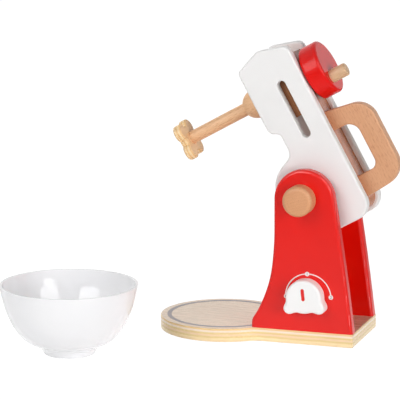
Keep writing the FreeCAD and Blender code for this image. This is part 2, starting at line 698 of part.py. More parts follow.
def make_dial_knob():
    right = [FreeCAD.Vector(x, 0, z) for x, z in DIAL_OUTLINE]
    left = [FreeCAD.Vector(-p.x, 0, p.z) for p in right[-2:0:-1]]
    curve = Part.BSplineCurve()
    curve.interpolate(Points=right + left, PeriodicFlag=True)
    face = Part.Face(Part.Wire(curve.toShape()))
    knob = prism_y(face, DIAL_FRONT_Y, DIAL_BACK_Y)
    knob = round_face_edges(knob, (DIAL_FRONT_Y,), DIAL_EDGE_ROUND)
    knob = knob.cut(rod_y(0, 0, DIAL_PIN_RADIUS + GLUE_FIT,
                          DIAL_BACK_Y - DIAL_PIN_SOCKET, DIAL_BACK_Y + CUT_PAST))
    knob.rotate(ORIGIN, Y_AXIS, -DIAL_REST_ANGLE)
    knob.translate(FreeCAD.Vector(DIAL_X, 0, DIAL_Z))
    return knob


def make_dial_pin():
    end = -PANEL_INNER_Y + FACE_GAP + RETAINER_THICKNESS
    return rod_y(DIAL_X, DIAL_Z, DIAL_PIN_RADIUS, DIAL_BACK_Y - DIAL_PIN_SOCKET, end)


def make_dial_retainer():
    low = -PANEL_INNER_Y + FACE_GAP
    high = low + RETAINER_THICKNESS
    ring = rod_y(DIAL_X, DIAL_Z, RETAINER_RADIUS, low, high)
    return ring.cut(rod_y(DIAL_X, DIAL_Z, DIAL_PIN_RADIUS + GLUE_FIT,
                          low - CUT_PAST, high + CUT_PAST))


# ---- bowl -----------------------------------------------------------------

def bowl_outer(inward):
    """Points of the bowl's wall, foot to rim, moved in by the wall thickness."""
    rise = BOWL_HEIGHT - BOWL_FOOT_HEIGHT
    run = BOWL_RIM_RADIUS - BOWL_FOOT_RADIUS
    low = FreeCAD.Vector(BOWL_FOOT_RADIUS - inward, 0, BOWL_FOOT_HEIGHT + inward)
    points = [low]
    for up, out in BOWL_CURVE:
        height = BOWL_FOOT_HEIGHT + inward + up * (rise - inward)
        points.append(FreeCAD.Vector(BOWL_FOOT_RADIUS + out * run - inward, 0, height))
    points.append(FreeCAD.Vector(BOWL_RIM_RADIUS - inward, 0, BOWL_HEIGHT))
    return points


def make_bowl():
    outer = bowl_outer(0.0)
    inner = bowl_outer(BOWL_WALL)
    outer_curve = Part.BSplineCurve()
    outer_curve.interpolate(outer)
    inner_curve = Part.BSplineCurve()
    inner_curve.interpolate(inner)
    foot_outer = BOWL_FOOT_RADIUS - BOWL_FOOT_TAPER
    foot_inner = foot_outer - BOWL_FOOT_WALL
    chain = [FreeCAD.Vector(0, 0, inner[0].z), FreeCAD.Vector(0, 0, BOWL_FOOT_RECESS),
             FreeCAD.Vector(foot_inner, 0, BOWL_FOOT_RECESS),
             FreeCAD.Vector(foot_inner, 0, 0), FreeCAD.Vector(foot_outer, 0, 0),
             outer[0]]
    rim_mid = FreeCAD.Vector(BOWL_RIM_RADIUS - BOWL_WALL / 2, 0, BOWL_HEIGHT + BOWL_WALL / 4)
    edges = [Part.LineSegment(a, b).toShape() for a, b in zip(chain, chain[1:])]
    edges.append(outer_curve.toShape())
    edges.append(Part.Arc(outer[-1], rim_mid, inner[-1]).toShape())
    edges.append(inner_curve.toShape())
    edges.append(Part.LineSegment(inner[0], chain[0]).toShape())
    profile = Part.Face(Part.Wire(Part.__sortEdges__(edges)))
    bowl = profile.revolve(ORIGIN, Z_AXIS, 360)
    bowl.translate(FreeCAD.Vector(BOWL_X, BOWL_Y, 0))
    return bowl


save("base_board", make_base_board())
save("dial_side_panel", make_dial_side_panel())
save("plain_side_panel", make_panel(1))
save("base_screws", make_screws())
save("stop_dowel", make_stop_dowel())
save("pivot_axle", make_pivot_axle())
save("pivot_knob_dial_side", make_pivot_knob(-1))
save("pivot_knob_plain_side", make_pivot_knob(1))
save("pivot_spacers", make_pivot_spacers())
save("head_plate_dial_side", make_head_plate(-1))
save("head_plate_plain_side", make_head_plate(1))
save("head_top_rail", make_top_rail())
save("head_front_block", make_front_block())
save("head_rear_block", make_rear_block())
save("head_dowels", make_head_dowels())
save("handle", make_handle())
save("handle_dowels", make_handle_dowels())
save("crank_disc", make_crank_disc())
save("crank_pin", make_crank_pin())
save("drive_shaft", make_drive_shaft())
save("shaft_collar", make_shaft_collar())
save("whisk_shaft", make_whisk_shaft())
save("whisk_head", make_whisk_head())
save("dial_knob", make_dial_knob())
save("dial_pin", make_dial_pin())
save("dial_retainer", make_dial_retainer())
save("bowl", make_bowl())
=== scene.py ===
# %% [markdown]
# A wooden toy stand mixer, dressed for rendering
#
# The toy is a board with a round platform, two red side panels, a white head that tilts
# between them, a crank on top of the head that turns a beater, a dial, and a loose bowl.
# Every solid piece comes in from the packed CAD model and keeps its place. This lesson gives
# each piece its finish with node materials, makes the bowl again as one smooth turned
# surface, and adds the thin printed marks that only a painter would add.

# %% Load the packed model
import math

import bpy
import numpy as np
from mathutils import Matrix, Vector


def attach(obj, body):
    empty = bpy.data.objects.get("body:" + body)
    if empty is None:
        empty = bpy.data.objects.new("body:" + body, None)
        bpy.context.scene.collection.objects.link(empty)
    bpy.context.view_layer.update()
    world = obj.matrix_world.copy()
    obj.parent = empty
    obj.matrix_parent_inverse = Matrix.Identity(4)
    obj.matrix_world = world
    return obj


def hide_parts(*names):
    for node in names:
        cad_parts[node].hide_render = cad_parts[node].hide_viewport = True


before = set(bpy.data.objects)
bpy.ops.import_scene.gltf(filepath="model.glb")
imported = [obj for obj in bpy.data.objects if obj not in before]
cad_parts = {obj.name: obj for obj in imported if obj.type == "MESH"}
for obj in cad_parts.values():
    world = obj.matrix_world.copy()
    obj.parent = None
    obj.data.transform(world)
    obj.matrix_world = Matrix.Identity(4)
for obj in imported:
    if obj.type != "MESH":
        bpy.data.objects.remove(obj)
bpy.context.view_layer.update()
MM = 0.001
print("nodes:", len(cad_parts))

# %% [markdown]
# The camera
#
# The toy is seen from a little above and from the side that has the dial. A long lens far
# away keeps the board's edges nearly parallel. A camera could be aimed by a constraint, but
# three directions worked out (back, right and up) place it exactly and can be read like a
# map: turn round the toy, rise above the table, then step back. Angles are in degrees, and
# LENS_SHARE is the focal length as a share of the sensor's width.

# %% Camera
CAMERA_TURN = math.radians(18.70)
CAMERA_RISE = math.radians(10.83)
CAMERA_ROLL = math.radians(-0.10)
CAMERA_DISTANCE = 2118.4 * MM
CAMERA_AIM = Vector((-24.65, 0.0, 130.0)) * MM
CAMERA_STEP = (0.11 * MM, -11.02 * MM)
LENS_SHARE, SENSOR_MM = 5.7065, 36.0
CAMERA_SEES = (0.05, 60.0)

turn_side, turn_front = math.sin(CAMERA_TURN), -math.cos(CAMERA_TURN)
back = Vector((turn_side * math.cos(CAMERA_RISE), turn_front * math.cos(CAMERA_RISE),
               math.sin(CAMERA_RISE)))
level = Vector((-turn_front, turn_side, 0.0))
upright = back.cross(level)
right = level * math.cos(CAMERA_ROLL) + upright * math.sin(CAMERA_ROLL)
up = upright * math.cos(CAMERA_ROLL) - level * math.sin(CAMERA_ROLL)
eye = CAMERA_AIM + back * CAMERA_DISTANCE + right * CAMERA_STEP[0] + up * CAMERA_STEP[1]

camera = bpy.data.objects.new("camera", bpy.data.cameras.new("camera"))
bpy.context.scene.collection.objects.link(camera)
camera.matrix_world = Matrix((right, up, back)).transposed().to_4x4()
camera.location = eye
camera.data.sensor_width = SENSOR_MM
camera.data.lens = LENS_SHARE * SENSOR_MM
camera.data.clip_start, camera.data.clip_end = CAMERA_SEES
bpy.context.scene.camera = camera
bpy.context.scene.view_settings.view_transform = "Standard"
print("camera at", [round(v, 3) for v in eye], "lens", round(camera.data.lens, 1), "mm")

# %% [markdown]
# Writing materials as arithmetic
#
# A node material is a small graph. Placing its boxes by hand in code is long and hard to
# read, so one class wraps an output of the graph and lets plus, minus and times add the
# Math nodes. A second class holds the graph, makes every other node through one method, and
# links or sets its inputs. Colours go through Mix nodes, because Math would turn them grey.

# %% Sockets and graphs
class Socket:
    """One output of a graph. Arithmetic on it adds a Math node and gives the new output."""

    def __init__(self, graph, output):
        self.graph = graph
        self.output = output

    def math(self, operation, first, second=0.0):
        """A Math node. Operations on one number, such as the sine, ignore the second."""
        return self.graph.node("ShaderNodeMath", {"operation": operation},
                               {0: first, 1: second})

    def __add__(self, other):
        return self.math("ADD", self, other)

    def __sub__(self, other):
        return self.math("SUBTRACT", self, other)

    def __rsub__(self, other):
        return self.math("SUBTRACT", other, self)

    def __mul__(self, other):
        return self.math("MULTIPLY", self, other)

    def __pow__(self, other):
        return self.math("POWER", self, other)

    __radd__ = __add__
    __rmul__ = __mul__


class Graph:
    """The nodes of one material or world."""

    def __init__(self, tree):
        self.tree = tree

    def link(self, value, target):
        """Join an output to an input, or set the input to a plain value."""
        if isinstance(value, Socket):
            self.tree.links.new(value.output, target)
        else:
            target.default_value = value

    def node(self, kind, settings=None, inputs=None, output=0):
        """Add a node: settings first, then inputs, and give one of its outputs."""
        made = self.tree.nodes.new(kind)
        for key, value in (settings or {}).items():
            if key == "stops":
                self.fill_ramp(made.color_ramp, value)
            else:
                setattr(made, key, value)
        for key, value in (inputs or {}).items():
            self.link(value, made.inputs[key])
        return Socket(self, made.outputs[output])

    def end(self, kind, value):
        """Add the graph's output node and link its first input."""
        self.link(value, self.tree.nodes.new(kind).inputs[0])

    def fill_ramp(self, ramp, stops):
        """Give a colour ramp its stops, each a place from 0 to 1 and a colour."""
        while len(ramp.elements) < len(stops):
            ramp.elements.new(1.0)
        for element, (place, colour) in zip(ramp.elements, stops):
            element.position = place
            element.color = colour

    def mix(self, factor, first, second):
        """First colour where the factor is 0, second where it is 1."""
        return self.node("ShaderNodeMix", {"data_type": "RGBA"},
                         {0: factor, 6: first, 7: second}, output=2)

    def place(self):
        """Each point's place on the piece, in metres."""
        return self.node("ShaderNodeTexCoord", output=3)

    def along(self, vector, direction):
        """How far a point lies along a direction."""
        return self.node("ShaderNodeVectorMath", {"operation": "DOT_PRODUCT"},
                         {0: vector, 1: direction}, output=1)

    def stretch(self, first, second, third):
        """Three numbers as one vector."""
        return self.node("ShaderNodeCombineXYZ", {}, {0: first, 1: second, 2: third})

    def noise(self, vector, scale=1.0, detail=2.0):
        """Soft random values from 0 to 1; each level of detail adds finer ones."""
        return self.node("ShaderNodeTexNoise", {},
                         {"Vector": vector, "Scale": scale, "Detail": detail})

    def between(self, value, low, high, out_low=0.0, out_high=1.0):
        """Carry the range low to high over to another range, and stop at its ends."""
        return self.node("ShaderNodeMapRange", {"clamp": True},
                         {0: value, 1: low, 2: high, 3: out_low, 4: out_high})


print("a graph makes", [name for name in vars(Graph) if name[0] != "_"])

# %% [markdown]
# Finishes
#
# A finish is one material with one Principled shader. Numbers that are the same all over,
# such as a clear coat's strength, are set straight on the shader. Only what changes over
# the surface is linked. Colours are written as they look on a screen, 0 to 255, and turned
# into light values, because a renderer adds light and not screen numbers.

# %% A finish and its colours
def shade(red, green, blue):
    """Screen colour to light: ((c + 0.055) / 1.055) to the power 2.4, or c / 12.92 if dark."""
    values = np.array([red, green, blue]) / 255.0
    light = np.where(values > 0.04045, ((values + 0.055) / 1.055) ** 2.4, values / 12.92)
    return (*[float(v) for v in light], 1.0)


class Finish(Graph):
    """A material with one Principled shader."""

    def __init__(self, name, constants):
        self.material = bpy.data.materials.new(name)
        self.material.use_nodes = True
        super().__init__(self.material.node_tree)
        self.shader = self.tree.nodes["Principled BSDF"]
        for socket, value in constants.items():
            self.shader.inputs[socket].default_value = value

    def feed(self, socket, value):
        """Set or link one input of the shader."""
        self.link(value, self.shader.inputs[socket])

    def raise_surface(self, height, depth):
        """Bump: the surface seems to rise by depth metres where the height is 1."""
        bump = self.node("ShaderNodeBump", {}, {"Strength": 1.0, "Distance": depth,
                                                "Height": height})
        self.feed("Normal", bump)


print("white paint in light values:", [round(v, 3) for v in shade(238, 238, 238)[:3]])

# %% [markdown]
# Beech
#
# Handle, knobs and dowels are solid beech: pale, slightly pink, with short dark flecks
# along the grain and faint year rings. The top rail and rear block inside the head are
# darker, and planed so smooth that they shine at a low angle. The front block, seen only
# through the slot, is darker still: its colour holds painted shade for the shadow deep in
# the slot. A picture of wood would have to be wrapped on each piece, and its end grain would
# be wrong. A solid texture is worked out in the space of the piece instead, so a turned knob
# shows rings on its end and streaks on its side, as if it were cut from a log. Three
# directions describe the log: along the grain and two across it.
# Rings are circles about a core line that lies outside the piece. Fibres, flecks and patches
# are noise, with so many per metre along the grain and so many across it.

# %% Beech finish
RING_SPACING, RING_WANDER = 2.6 * MM, 2.0 * MM
FLECKS_PER_METRE, FLECKS_FROM_TO = (190.0, 1500.0), (0.56, 0.72)
FIBRES_PER_METRE, FIBRE_DEPTH = (45.0, 2600.0), 0.05 * MM
PATCHES_PER_METRE = (9.0, 55.0)
RING_TONE, PATCH_TONE, FIBRE_TONE, TONE_FROM_TO = 0.07, 0.75, 0.35, (0.19, 0.99)
FIBRE_ROUGHNESS, FLECK_HOLLOW = 0.12, 0.6


def beech(name, grain, across, core, pale, deep, fleck, fleck_share=0.7,
          gloss=0.35, rough=0.40):
    """Solid beech: rings = sine of the distance from the core line, plus stretched noise."""
    finish = Finish(name, {"Specular IOR Level": gloss})
    grain = Vector(grain).normalized()
    across = (Vector(across) - grain * Vector(across).dot(grain)).normalized()
    third = grain.cross(across)
    place = finish.place()
    g = finish.along(place, grain)
    a = finish.along(place, across)
    b = finish.along(place, third)

    def stretched(rates, detail):
        return finish.noise(finish.stretch(g * rates[0], a * rates[1], b * rates[1]),
                            detail=detail)

    patches = stretched(PATCHES_PER_METRE, 2.0)
    a_off = a - core[0] * MM
    b_off = b - core[1] * MM
    distance = (a_off * a_off + b_off * b_off) ** 0.5 + patches * RING_WANDER
    phase = distance * (2 * math.pi / RING_SPACING)
    rings = phase.math("SINE", phase)
    fibres = stretched(FIBRES_PER_METRE, 3.0)
    flecks = finish.between(stretched(FLECKS_PER_METRE, 1.0), *FLECKS_FROM_TO)
    tone = rings * RING_TONE + patches * PATCH_TONE + fibres * FIBRE_TONE
    body = finish.mix(finish.between(tone, *TONE_FROM_TO), pale, deep)
    finish.feed("Base Color", finish.mix(flecks * fleck_share, body, fleck))
    finish.feed("Roughness", fibres * FIBRE_ROUGHNESS + rough)
    finish.raise_surface(fibres - flecks * FLECK_HOLLOW, FIBRE_DEPTH)
    return finish.material


HEAD_LEAN = math.radians(61.0)
HEAD_AHEAD = (-math.cos(HEAD_LEAN), 0.0, math.sin(HEAD_LEAN))
HEAD_ABOVE = (math.sin(HEAD_LEAN), 0.0, math.cos(HEAD_LEAN))
SIDEWAYS = (0.0, 1.0, 0.0)

beech_handle = beech("beech_handle", HEAD_AHEAD, SIDEWAYS, (62.0, -95.0),
                     shade(219, 169, 131), shade(200, 141, 100), shade(171, 112, 76))
beech_turned = beech("beech_turned", SIDEWAYS, HEAD_ABOVE, (118.0, 20.0),
                     shade(221, 165, 122), shade(202, 140, 96), shade(178, 118, 79))
beech_dowel = beech("beech_dowel", HEAD_ABOVE, SIDEWAYS, (18.0, 44.0),
                    shade(238, 195, 152), shade(218, 166, 122), shade(196, 141, 100))
beech_core = beech("beech_core", HEAD_AHEAD, SIDEWAYS, (40.0, -60.0),
                   shade(190, 110, 52), shade(168, 92, 40), shade(144, 76, 30),
                   gloss=0.85, rough=0.20)
# The front block is seen only through the slot: its darker colours are painted shade for the
# shadow deep in the slot.
beech_painted_slot_shade = beech("beech_painted_slot_shade", HEAD_AHEAD, SIDEWAYS, (40.0, -60.0),
                    shade(150, 92, 48), shade(130, 76, 37), shade(112, 64, 30))
print("beech finishes:", [m.name for m in bpy.data.materials if "beech" in m.name])

# %% [markdown]
# The pale pin
#
# The crank pin is a yellower wood than the handle. It uses the same recipe with other
# colours, so one function stays the only place where solid wood is made.

# %% Paler wood
pale_pin = beech("pale_pin", HEAD_ABOVE, SIDEWAYS, (25.0, 30.0),
                 shade(212, 176, 139), shade(195, 155, 117), shade(178, 136, 99),
                 fleck_share=0.4)
print("paler wood:", pale_pin.name)

# %% [markdown]
# Plywood
#
# The board is seven-ply plywood, and the beater's flat head is five-ply. The veneer on both
# faces is pale under its lacquer. The edge shows the plies as stripes, because each veneer
# is turned a quarter from the last: light where the saw cut along the fibres and darker
# where it cut across them. The stripes only depend on the place between the two faces, so a
# colour ramp over that height draws them, with a little noise to make them waver. How far
# the surface looks along that height tells face from edge.

# %% Plywood finish
WAVER_PER_METRE, WAVER_SHARE = 30.0, 0.05
STREAKS_PER_METRE = (90.0, 90.0, 1400.0)
VENEER_FIBRES_PER_METRE = (35.0, 900.0, 900.0)
VENEER_PATCHES_PER_METRE = (12.0, 40.0, 40.0)
PLY_FADE, GLUE_SHARE = 0.18, 0.35
EDGE_TO_FACE = (0.55, 0.9)
VENEER_DEPTH = 0.012 * MM
BOARD_TOP = 12.5
BOARD_PLIES = [shade(250, 224, 178), shade(255, 234, 188), shade(236, 213, 152),
               shade(250, 222, 186), shade(236, 212, 150), shade(255, 238, 222),
               shade(240, 206, 146)]
LEVEL = ((1.0, 0.0, 0.0), (0.0, 1.0, 0.0), (0.0, 0.0, 1.0))


def plywood(name, axes, low, thickness, plies, glue, veneers, rough, specular):
    """Stripes by height on the edges, a long-grained veneer on both faces. The axes run
    along the veneer's grain, across it, and up through the plies."""
    finish = Finish(name, {"Specular IOR Level": specular})
    place = finish.place()
    x, y, z = [finish.along(place, axis) for axis in axes]

    def stretched(rates, detail):
        return finish.noise(finish.stretch(x * rates[0], y * rates[1], z * rates[2]),
                            detail=detail)

    waver = stretched((WAVER_PER_METRE,) * 3, 2.0)
    height = (z - low) * (1.0 / thickness) + (waver - 0.5) * WAVER_SHARE
    stops = [((i + end) / len(plies), colour) for i, colour in enumerate(plies)
             for end in (PLY_FADE, 1 - PLY_FADE)]
    stripes = finish.node("ShaderNodeValToRGB", {"stops": stops}, {0: height})
    streaks = stretched(STREAKS_PER_METRE, 3.0)
    edge = finish.mix(finish.between(streaks, 0.3, 0.75, 0.0, GLUE_SHARE), stripes, glue)
    fibres = stretched(VENEER_FIBRES_PER_METRE, 3.0)
    tone = fibres * 0.5 + stretched(VENEER_PATCHES_PER_METRE, 2.0) * 0.5
    veneer = finish.mix(finish.between(tone, 0.3, 0.7), *veneers)
    tilt = finish.along(finish.node("ShaderNodeNewGeometry", output=1), axes[2])
    face = finish.between(tilt * tilt, *EDGE_TO_FACE)
    finish.feed("Base Color", finish.mix(face, edge, veneer))
    finish.feed("Roughness", fibres * 0.1 + rough)
    finish.raise_surface(fibres * face + streaks * (1 - face), VENEER_DEPTH)
    return finish.material


board_plywood = plywood("board_plywood", LEVEL, 0.0, BOARD_TOP * MM, BOARD_PLIES,
                        shade(222, 184, 126), (shade(229, 209, 184), shade(225, 203, 177)),
                        rough=0.22, specular=0.5)
BEATER_THICKNESS, BEATER_LOW = 8.0 * MM, 49.8 * MM
BEATER_PLIES = [shade(236, 196, 142), shade(248, 218, 172), shade(232, 190, 134),
                shade(248, 220, 176), shade(234, 194, 140)]
beater_plywood = plywood("beater_plywood", (SIDEWAYS, HEAD_AHEAD, HEAD_ABOVE), BEATER_LOW,
                         BEATER_THICKNESS, BEATER_PLIES, shade(206, 160, 104),
                         (shade(242, 206, 158), shade(232, 190, 144)),
                         rough=0.38, specular=0.35)
print("plies on the edges:", len(BOARD_PLIES), "and", len(BEATER_PLIES))

# %% [markdown]
# Paint and plastic
#
# The panels and the crank disc are painted red and the head white. Sprayed paint is never
# quite even: it is a touch thicker here and there, and its skin has a very fine orange
# peel. Both come from noise, a broad one for the tone and a fine one for the bump. The
# bowl is moulded plastic, and its clear coat gives it a smoother gloss than paint has.

# %% Paint, plastic, ink and metal
CLOUDS_PER_METRE, PEEL_PER_METRE = 28.0, 1300.0


def painted(name, colour, deeper, constants, peel, rough):
    """Even colour with a broad tone, a peel so many mm deep, and a roughness that starts at
    the first value and wanders by the second."""
    finish = Finish(name, constants)
    place = finish.place()
    cloud = finish.noise(place, CLOUDS_PER_METRE, 3.0)
    skin = finish.noise(place, PEEL_PER_METRE, 2.0)
    finish.feed("Base Color", finish.mix(finish.between(cloud, 0.3, 0.7), colour, deeper))
    finish.feed("Roughness", cloud * rough[1] + rough[0])
    finish.raise_surface(skin, peel * MM)
    return finish.material


red_panel = painted("red_panel", shade(229, 17, 4), shade(226, 14, 3),
                    {"Specular IOR Level": 0.42}, 0.010, (0.19, 0.06))
red_disc = painted("red_disc", shade(224, 22, 16), shade(220, 18, 14),
                   {"Specular IOR Level": 0.19}, 0.004, (0.13, 0.05))
white_head = painted("white_head", shade(233, 232, 231), shade(230, 229, 228),
                     {"Specular IOR Level": 0.3}, 0.012, (0.38, 0.08))
white_dial = painted("white_dial", shade(244, 245, 244), shade(242, 243, 242),
                     {"Specular IOR Level": 0.3}, 0.010, (0.34, 0.08))
bowl_plastic = painted("bowl_plastic", shade(245, 245, 246), shade(243, 243, 245),
                       {"Specular IOR Level": 0.0, "Coat Weight": 1.0,
                        "Coat Roughness": 0.02}, 0.003, (0.30, 0.05))
INK_PEEL, INK_ROUGH = 0.008, (0.40, 0.08)
ring_ink = painted("ring_ink", shade(158, 152, 152), shade(140, 138, 146),
                   {"Specular IOR Level": 0.3}, INK_PEEL, INK_ROUGH)
white_ink = painted("white_ink", shade(240, 232, 230), shade(234, 226, 224),
                    {"Specular IOR Level": 0.3}, INK_PEEL, INK_ROUGH)
red_ink = painted("red_ink", shade(226, 50, 44), shade(220, 44, 40),
                  {"Specular IOR Level": 0.2}, INK_PEEL, INK_ROUGH)
dark_ink = painted("dark_ink", shade(84, 78, 84), shade(74, 68, 74),
                   {"Specular IOR Level": 0.3}, INK_PEEL, INK_ROUGH)
zinc_screw = painted("zinc_screw", shade(176, 178, 184), shade(160, 162, 170),
                     {"Metallic": 1.0}, 0.010, (0.30, 0.10))
print("finishes so far:", len(bpy.data.materials))

# %% [markdown]
# Dressing the CAD pieces
#
# Each CAD piece keeps its mesh and only changes its material. One table says which piece
# gets which finish, so nothing is left in the plain colour that it came in with.

# %% Finishes of the CAD pieces
DRESS = {
    "base_board": board_plywood,
    "dial_side_panel": red_panel,
    "plain_side_panel": red_panel,
    "base_screws": zinc_screw,
    "stop_dowel": beech_turned,
    "pivot_axle": beech_turned,
    "pivot_knob_dial_side": beech_turned,
    "pivot_knob_plain_side": beech_turned,
    "pivot_spacers": beech_turned,
    "head_plate_dial_side": white_head,
    "head_plate_plain_side": white_head,
    "head_top_rail": beech_core,
    # The front block's darker beech is painted shade of the slot.
    "head_front_block": beech_painted_slot_shade,
    "head_rear_block": beech_core,
    "head_dowels": beech_turned,
    "handle": beech_handle,
    "handle_dowels": beech_dowel,
    "crank_disc": red_disc,
    "crank_pin": pale_pin,
    "drive_shaft": beech_dowel,
    "shaft_collar": beech_dowel,
    "whisk_shaft": beech_dowel,
    "whisk_head": beater_plywood,
    "dial_knob": white_dial,
    "dial_pin": beech_turned,
    "dial_retainer": beech_turned,
    "bowl": bowl_plastic,
}


def dress(node, material):
    """Put one material in every slot of a CAD piece."""
    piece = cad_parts[node]
    if not piece.material_slots:
        piece.data.materials.append(material)
    for slot in piece.material_slots:
        slot.material = material


for node, material in DRESS.items():
    dress(node, material)
print("not dressed:", sorted(set(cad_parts) - set(DRESS)))

# %% [markdown]
# Skins from grids
#
# Every new piece is a skin over a grid of points: rows run along the piece and each row is
# a closed loop. A turned bowl, a printed ring and a flat painted bar are all such grids, so
# one function turns a grid into a mesh. The first and last rows are closed with a face, or
# joined to each other where the piece is a ring.

# %% A grid becomes a closed mesh
SHARP = math.radians(32.0)


def skin(name, grid, material, slot, body, ring=False):
    """Quads between neighbouring rows and columns; the columns always run round."""
    rows, columns = grid.shape[:2]
    index = np.arange(rows * columns).reshape(rows, columns)
    if ring:
        index = np.vstack([index, index[:1]])
    here = index[:-1]
    ahead = index[1:]
    quads = np.stack([here, np.roll(here, -1, 1), np.roll(ahead, -1, 1), ahead], axis=-1)
    faces = quads.reshape(-1, 4).tolist()
    if not ring:
        faces += [index[0][::-1].tolist(), index[-1].tolist()]
    mesh = bpy.data.meshes.new(name)
    mesh.from_pydata(grid.reshape(-1, 3).tolist(), [], faces)
    return finish_piece(name, mesh, material, body)


def volume_sign(mesh):
    """Sum of the signed tetrahedra under the triangles: above 0 where faces look out."""
    mesh.calc_loop_triangles()
    corners = np.zeros(len(mesh.loop_triangles) * 3, np.int32)
    mesh.loop_triangles.foreach_get("vertices", corners)
    points = np.zeros(len(mesh.vertices) * 3)
    mesh.vertices.foreach_get("co", points)
    a, b, c = points.reshape(-1, 3)[corners.reshape(-1, 3)].transpose(1, 0, 2)
    return float(np.einsum("ij,ij->", a, np.cross(b, c)))


def finish_piece(name, mesh, material, body):
    """Turn the faces outwards, shade them, and let the piece ride on its body."""
    if volume_sign(mesh) < 0:
        mesh.flip_normals()
    mesh.polygons.foreach_set("use_smooth", np.ones(len(mesh.polygons), bool))
    mesh.set_sharp_from_angle(angle=SHARP)
    mesh.materials.append(material)
    piece = bpy.data.objects.new(name, mesh)
    bpy.context.scene.collection.objects.link(piece)
    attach(piece, body)
    print(name, "has", len(mesh.polygons), "faces")
    return piece


# %% [markdown]
# The bowl
#
# The bowl is a thin turned shell on a low foot ring. It could be a Screw modifier on a
# drawn line, but the same profile as an array can be checked with numbers. The outer wall
# is a smooth curve through a few places, the inner wall is the same curve moved in by the
# wall, and the lip and the foot's edges are small bends. Turning the profile about its axis
# gives the whole skin at once: x = r cos t, y = r sin t. The profile is written in
# millimetres as (radius, height). It starts and ends a pinhole's width from the axis, where
# one small face closes it.

# %% The bowl's profile, turned
BOWL_AXIS = (-101.9, -135.8)
RIM_RADIUS, BOWL_HEIGHT, WALL = 61.8, 62.5, 2.6
FOOT_RADIUS, FOOT_TAPER, FOOT_HEIGHT = 26.4, 4.0, 7.2
FOOT_WALL, FOOT_RECESS = 3.0, 4.0
LIP_SHOULDER, LIP_TOP = 0.6, 0.65
FOOT_BEND, FOOT_BEND_FROM = (1.2, 2.1), -9
SOLE_BEND, SOLE_BEND_IN = (0.7, 1.3), 1.2
RECESS_BEND, PINHOLE = 0.8, 0.4
WALL_PLACES = [(0.0, 0.0), (0.035, 0.126), (0.10, 0.338), (0.20, 0.504), (0.37, 0.69),
               (0.62, 0.855), (0.82, 0.938), (1.0, 1.0)]
BOWL_TURNS = 160


def through(points, steps):
    """Smooth line through points: each stretch is a cubic whose end slopes point from the
    point before to the point after, with the ends' own stretch used at the ends."""
    points = np.array(points, float)
    slopes = np.gradient(points, axis=0)
    t = np.linspace(0, 1, steps, endpoint=False)[:, None, None]
    start, end = points[:-1], points[1:]
    rise, fall = slopes[:-1], slopes[1:]
    line = ((2 * t ** 3 - 3 * t ** 2 + 1) * start + (t ** 3 - 2 * t ** 2 + t) * rise
            + (3 * t ** 2 - 2 * t ** 3) * end + (t ** 3 - t ** 2) * fall)
    return np.vstack([line.transpose(1, 0, 2).reshape(-1, 2), points[-1:]])


def bend(before, corner, after, steps=7):
    """Rounded corner: (1-t)^2 before + 2t(1-t) corner + t^2 after."""
    t = np.linspace(0, 1, steps)[:, None]
    before, corner, after = (np.array(p, float) for p in (before, corner, after))
    return (1 - t) ** 2 * before + 2 * t * (1 - t) * corner + t ** 2 * after


def wall_line(inward):
    """The wall from foot to rim as (radius, height), moved in by the wall thickness."""
    low = FOOT_HEIGHT + inward
    return through([(FOOT_RADIUS + out * (RIM_RADIUS - FOOT_RADIUS) - inward,
                     low + rise * (BOWL_HEIGHT - low)) for rise, out in WALL_PLACES], 8)


def turned(profile, centre, turns):
    """Every profile point (r, z) at every angle t: (r cos t, r sin t, z)."""
    t = np.linspace(0, 2 * math.pi, turns, endpoint=False)
    r, z = profile[:, :1], profile[:, 1:]
    grid = np.stack([centre[0] + r * np.cos(t), centre[1] + r * np.sin(t), z + 0 * t], -1)
    return grid * MM


inner = wall_line(WALL)
outer = wall_line(0.0)[::-1]
lip_middle = RIM_RADIUS - WALL / 2
floor_height = inner[0][1]
foot_outer = FOOT_RADIUS - FOOT_TAPER
foot_inner = foot_outer - FOOT_WALL
lip = (lip_middle, BOWL_HEIGHT + LIP_TOP)
lip_shoulder = BOWL_HEIGHT + LIP_SHOULDER
bowl_profile = np.vstack([
    [(PINHOLE, floor_height), (FOOT_RADIUS / 2, floor_height)],
    inner,
    bend(inner[-1], (RIM_RADIUS - WALL, lip_shoulder), lip),
    bend(lip, (RIM_RADIUS, lip_shoulder), outer[0])[1:],
    outer[1:FOOT_BEND_FROM],
    bend(outer[FOOT_BEND_FROM], (FOOT_RADIUS, FOOT_HEIGHT),
         (FOOT_RADIUS - FOOT_BEND[0], FOOT_HEIGHT - FOOT_BEND[1])),
    bend((foot_outer + SOLE_BEND[0], SOLE_BEND[1]), (foot_outer, 0.0),
         (foot_outer - SOLE_BEND_IN, 0.0)),
    bend((foot_inner + RECESS_BEND, 0.0), (foot_inner, 0.0), (foot_inner, RECESS_BEND)),
    bend((foot_inner, FOOT_RECESS - RECESS_BEND), (foot_inner, FOOT_RECESS),
         (foot_inner - RECESS_BEND, FOOT_RECESS)),
    [(foot_inner / 2, FOOT_RECESS), (PINHOLE, FOOT_RECESS)],
])
bowl_shell = skin("bowl_shell", turned(bowl_profile, BOWL_AXIS, BOWL_TURNS),
                  bowl_plastic, "white_plastic", "bowl")
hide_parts("bowl")
print("bowl profile points:", len(bowl_profile))

# %% [markdown]
# The printed ring on the platform
#
# A grey ring on the platform shows a child where the bowl goes. It is a film of ink, a few
# hundredths of a millimetre thick. It could be painted by the board's material, but a thin
# ring of its own stays sharp at any distance. Its section is a flat rectangle, turned about
# the platform's centre.

